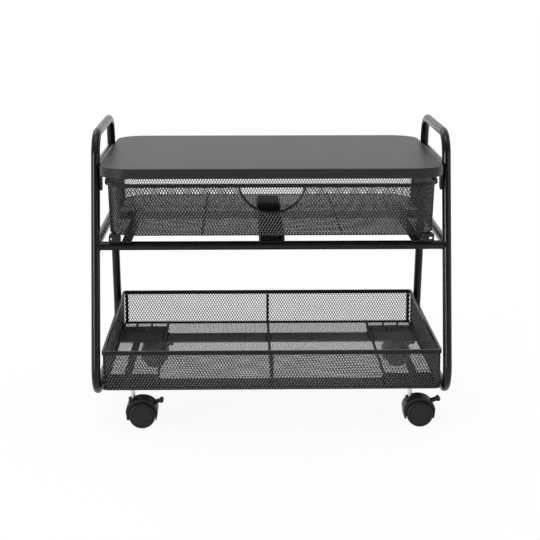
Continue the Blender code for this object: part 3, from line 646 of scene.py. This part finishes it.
# Turned pieces


def lathe(profile, place, axis, steps):
    """Turns (radius, distance along the axis) points into a closed shape at a place."""
    bm = bmesh.new()
    points = [bm.verts.new((radius, 0.0, along)) for radius, along in profile]
    edges = [bm.edges.new(pair) for pair in zip(points, points[1:])]
    bmesh.ops.spin(
        bm,
        geom=points + edges,
        cent=(0, 0, 0),
        axis=(0, 0, 1),
        angle=2 * math.pi,
        steps=steps,
        use_merge=True,
    )
    bmesh.ops.remove_doubles(bm, verts=bm.verts, dist=MERGE_REACH)
    turn = Vector((0, 0, 1)).rotation_difference(Vector(axis)).to_matrix().to_4x4()
    bmesh.ops.transform(bm, matrix=Matrix.Translation(place) @ turn, verts=bm.verts)
    bmesh.ops.recalc_face_normals(bm, faces=bm.faces)
    data = bpy.data.meshes.new("turned")
    bm.to_mesh(data)
    bm.free()
    return data


def wheel_profile(radius, width):
    """Half section of a caster wheel: bored hub, tread with eased edges, ring groove and domed cap."""
    bore, bore_end = 3.2 * MM, width - 2.5 * MM
    rim = width - 0.45 * MM
    return [
        (0.0, bore_end),
        (bore, bore_end),
        (bore, 0.0),
        (radius - 2.6 * MM, 0.0),
        (radius - 1.2 * MM, 0.35 * MM),
        (radius - 0.35 * MM, 1.2 * MM),
        (radius, 2.4 * MM),
        (radius, 0.42 * width),
        (radius - 0.3 * MM, 0.44 * width),
        (radius - 0.3 * MM, 0.47 * width),
        (radius, 0.49 * width),
        (radius, width - 3.4 * MM),
        (radius - 0.3 * MM, width - 2.2 * MM),
        (radius - 1.0 * MM, width - 1.2 * MM),
        (radius - 2.1 * MM, width - 0.6 * MM),
        (radius - 3.1 * MM, rim),
        (radius - 3.4 * MM, width - 1.0 * MM),
        (radius - 3.8 * MM, width - 1.0 * MM),
        (radius - 4.1 * MM, rim),
        (radius - 7.0 * MM, width - 0.22 * MM),
        (radius - 11.0 * MM, width - 0.08 * MM),
        (0.0, width),
    ]


def caster_wheels(corner):
    """The two wheels of a caster, turned in the place of its plainer solids."""
    for which, outward in (("near", -1), ("far", 1)):
        node = f"{corner}_caster_{which}_wheel"
        low, high = (Vector(point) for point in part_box(node))
        middle = (low + high) / 2
        inner = low.y if outward > 0 else high.y
        profile = wheel_profile((high.z - low.z) / 2, high.y - low.y)
        place = (middle.x, inner, middle.z)
        data = smoothed(lathe(profile, place, (0, outward, 0), WHEEL_STEPS), WHEEL_SHARP)
        piece = add_piece(f"{corner}_{which}_tyre", data, f"{corner}_wheels", "black_plastic")
        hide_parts(node)


for corner in CORNERS:
    caster_wheels(corner)


def screw_profile(head_r, head_h):
    """Pan head with a round recess in place of a driver slot."""
    return [
        (0.0, 0.0),
        (head_r, 0.0),
        (head_r, 0.35 * head_h),
        (0.86 * head_r, 0.75 * head_h),
        (0.55 * head_r, head_h),
        (0.34 * head_r, head_h),
        (0.3 * head_r, 0.45 * head_h),
        (0.0, 0.4 * head_h),
    ]


def bracket_screws():
    """Two screws up through each bracket into the board."""
    for corner in CORNERS:
        low, high = (Vector(point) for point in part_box(f"{corner}_board_bracket"))
        side = 1 if high.x > 0 else -1
        face = high.x if side > 0 else -low.x
        under = high.z - SCREW_SEAT
        profile = screw_profile(SCREW_HEAD_R, SCREW_HEAD_H)
        for number, inset in enumerate(SCREW_INSETS, 1):
            place = (side * (face - inset), (low.y + high.y) / 2, under)
            data = smoothed(lathe(profile, place, (0, 0, -1), SCREW_STEPS), SCREW_SHARP)
            add_piece(f"{corner}_board_screw_{number}", data, "frame", "zinc")


bracket_screws()


# Finishes on the carried-over pieces


def soften(node, width):
    """Rounds a carried-over piece's edges and evens its shading."""
    piece = frame["nodes"][node]
    for polygon in piece.data.polygons:
        polygon.use_smooth = True
    weld = piece.modifiers.new("joined", "WELD")
    weld.merge_threshold = 0.01 * MM
    if width:
        bevel = piece.modifiers.new("eased_edges", "BEVEL")
        bevel.width = width
        bevel.segments = 2
        bevel.limit_method = "ANGLE"
        bevel.angle_limit = math.radians(40)
    normals = piece.modifiers.new("even_normals", "WEIGHTED_NORMAL")
    normals.keep_sharp = False
    normals.weight = 60


def edge_width(node):
    low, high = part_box(node)
    thinnest = min(b - a for a, b in zip(low, high))
    return min(EDGE_SHARE * thinnest, EDGE_MOST)


for part in frame["record"]["subparts"]:
    node = part["node"]
    finish = WIRE_FINISH if node in WIRES else FINISHES[part["material_slot"]]
    materials = frame["nodes"][node].data.materials
    materials.clear()
    materials.append(finish)
    soften(node, edge_width(node))


# Floor, light and camera


def pale_floor():
    """White floor that glows to the camera and in reflections, and keeps a faint shadow of the stand."""
    bm = bmesh.new()
    bmesh.ops.create_grid(bm, x_segments=FLOOR_CELLS, y_segments=FLOOR_CELLS, size=FLOOR_HALF)
    for vert in bm.verts:
        if max(abs(vert.co.x), abs(vert.co.y)) > FLOOR_RING * FLOOR_HALF:
            vert.co.z = FLOOR_LIP
    data = bpy.data.meshes.new("floor")
    bm.to_mesh(data)
    bm.free()
    material, shader, place = new_material("pale_floor")
    patches = noise(material, place, scale=3.0, detail=2.0)
    ramp(material, patches, FLOOR_WHITE, shader.inputs["Base Color"])
    shader.inputs["Roughness"].default_value = 0.9
    shader.inputs["Specular IOR Level"].default_value = 0.1
    nodes, links = material.node_tree.nodes, material.node_tree.links
    path = nodes.new("ShaderNodeLightPath")
    seen = path.outputs["Is Camera Ray"]
    for ray in ("Is Glossy Ray", "Is Transmission Ray"):
        either = nodes.new("ShaderNodeMath")
        either.operation = "MAXIMUM"
        links.new(seen, either.inputs[0])
        links.new(path.outputs[ray], either.inputs[1])
        seen = either.outputs["Value"]
    share = nodes.new("ShaderNodeMath")
    share.operation = "MULTIPLY"
    share.inputs[1].default_value = FLOOR_GLOW
    links.new(seen, share.inputs[0])
    glow = nodes.new("ShaderNodeEmission")
    blend = nodes.new("ShaderNodeMixShader")
    links.new(share.outputs["Value"], blend.inputs["Fac"])
    links.new(shader.outputs["BSDF"], blend.inputs[1])
    links.new(glow.outputs["Emission"], blend.inputs[2])
    links.new(blend.outputs["Shader"], nodes["Material Output"].inputs["Surface"])
    data.materials.append(material)
    floor = bpy.data.objects.new("floor", data)
    bpy.context.scene.collection.objects.link(floor)


def sun(name, toward, strength, degrees):
    """A wide soft light that shines along a direction."""
    data = bpy.data.lights.new(name, "SUN")
    data.energy = strength
    data.angle = math.radians(degrees)
    light = bpy.data.objects.new(name, data)
    light.rotation_euler = Vector(toward).to_track_quat("-Z", "Y").to_euler()
    light.location = -LAMP_REACH * Vector(toward)
    bpy.context.scene.collection.objects.link(light)


def studio_world():
    """A plain studio dome, dim in front of the stand and bright over and behind it."""
    world = bpy.data.worlds.new("studio")
    bpy.context.scene.world = world
    world.use_nodes = True
    nodes, links = world.node_tree.nodes, world.node_tree.links
    place = nodes.new("ShaderNodeTexCoord")
    facing = nodes.new("ShaderNodeVectorMath")
    facing.operation = "DOT_PRODUCT"
    facing.inputs[1].default_value = DOME_TOWARD
    links.new(place.outputs["Generated"], facing.inputs[0])
    shade = nodes.new("ShaderNodeMapRange")
    shade.inputs["From Min"].default_value = DOME_FADE[0]
    shade.inputs["From Max"].default_value = DOME_FADE[1]
    shade.inputs["To Min"].default_value = DOME_STRENGTH[0]
    shade.inputs["To Max"].default_value = DOME_STRENGTH[1]
    links.new(facing.outputs["Value"], shade.inputs["Value"])
    links.new(shade.outputs["Result"], nodes["Background"].inputs["Strength"])
    nodes["Background"].inputs["Color"].default_value = (1.0, 1.0, 1.0, 1.0)


def photo_camera():
    """The photograph's camera, from a fit to the stand's edges."""
    data = bpy.data.cameras.new("photo_camera")
    data.sensor_fit = "HORIZONTAL"
    data.sensor_width = SENSOR
    data.lens = FOCAL_PIXELS / IMAGE_PIXELS * SENSOR
    data.shift_y = PRINCIPAL_ROW / IMAGE_PIXELS - 0.5
    data.clip_end = VIEW_REACH
    forward = Vector(
        (
            math.sin(CAMERA_YAW) * math.cos(CAMERA_PITCH),
            math.cos(CAMERA_YAW) * math.cos(CAMERA_PITCH),
            -math.sin(CAMERA_PITCH),
        )
    )
    right = Vector((math.cos(CAMERA_YAW), -math.sin(CAMERA_YAW), 0.0))
    down = forward.cross(right)
    turned_right = math.cos(CAMERA_ROLL) * right + math.sin(CAMERA_ROLL) * down
    turned_down = -math.sin(CAMERA_ROLL) * right + math.cos(CAMERA_ROLL) * down
    turn = Matrix((turned_right, -turned_down, -forward)).transposed()
    camera = bpy.data.objects.new("photo_camera", data)
    camera.matrix_world = Matrix.Translation(CAMERA_PLACE) @ turn.to_4x4()
    bpy.context.scene.collection.objects.link(camera)
    bpy.context.scene.camera = camera


pale_floor()
studio_world()
for lamp, (toward, strength, degrees) in LAMPS.items():
    sun(lamp, toward, strength, degrees)
photo_camera()
bpy.context.scene.view_settings.view_transform = "Standard"
